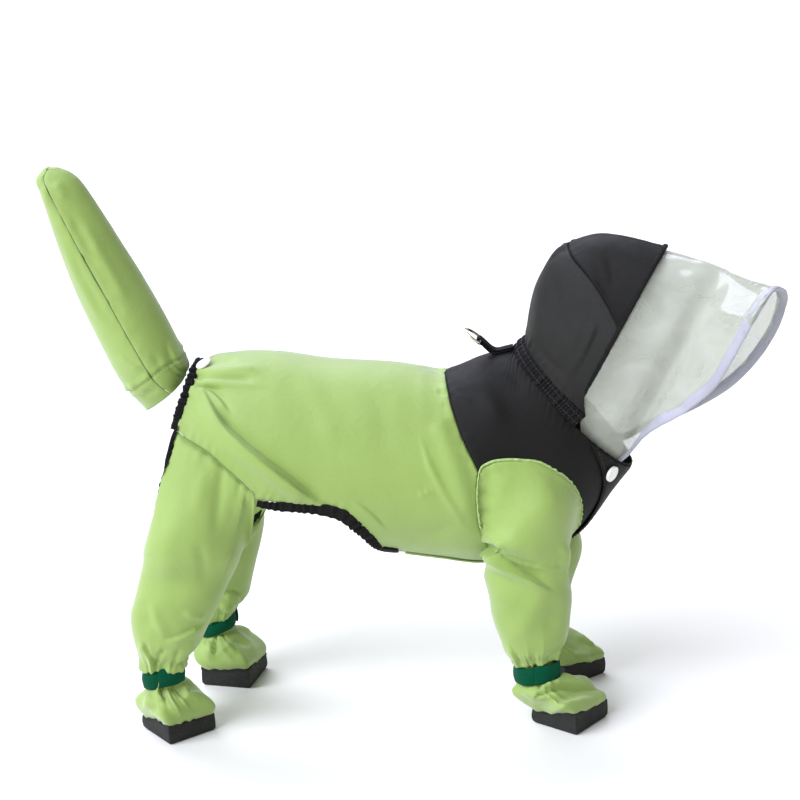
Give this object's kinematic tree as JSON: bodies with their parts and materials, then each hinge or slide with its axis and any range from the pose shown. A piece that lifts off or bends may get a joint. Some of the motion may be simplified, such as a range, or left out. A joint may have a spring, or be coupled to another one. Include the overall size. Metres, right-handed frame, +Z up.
{
  "type": "dog rain suit",
  "caption": "Four-legged rain suit for a small dog: hooded body with clear face visor, closed leg sleeves with soled boots, ankle straps and an upright tail sleeve.",
  "frame": {"origin": "inside of the back panel at the middle of the back, where the wearer carries the suit", "axes": "+X forward, out of the hood; +Z up; +Y to the wearer's left"},
  "size_m": [0.6157, 0.18, 0.4892],
  "materials": {
    "green": "plain woven nylon shell, faint sheen",
    "charcoal": "plain woven nylon shell, dull",
    "hood_cloth": "plain woven nylon shell, dull",
    "binding": "gathered elastic binding",
    "clear_sheet": "clear soft plastic sheet, slightly milky",
    "soft_edge": "soft pale grey edge binding",
    "snap_cap": "moulded white cap",
    "ring_metal": "bright pale metal",
    "webbing": "narrow woven tape",
    "sole": "matt rubber with a fine dotted grain",
    "strap": "hook-and-loop tape"
  },
  "bodies": {
    "root": {"back_panel": "green", "yoke": "charcoal", "chest_flap": "charcoal", "belly_flap": "green", "belly_tab": "binding", "rear_binding": "binding", "belly_binding_right": "binding", "belly_binding_left": "binding", "leg_binding_right": "binding", "leg_binding_left": "binding", "neck_band": "binding", "hood_back": "hood_cloth", "hood_top": "charcoal", "hood_binding": "binding", "visor": "clear_sheet", "visor_trim": "soft_edge", "tail_front": "green", "tail_rear": "green", "tail_tab": "green", "tail_snap": "snap_cap", "chest_snap": "snap_cap", "d_ring": "ring_metal", "ring_webbing": "webbing", "leg_front_right": "green", "boot_front_right": "green", "sole_front_right": "sole", "strap_front_right": "strap", "strap_end_front_right": "strap", "leg_front_left": "green", "boot_front_left": "green", "sole_front_left": "sole", "strap_front_left": "strap", "strap_end_front_left": "strap", "leg_hind_right": "green", "boot_hind_right": "green", "sole_hind_right": "sole", "strap_hind_right": "strap", "strap_end_hind_right": "strap", "leg_hind_left": "green", "boot_hind_left": "green", "sole_hind_left": "sole", "strap_hind_left": "strap", "strap_end_hind_left": "strap"}
  },
  "joints": []
}
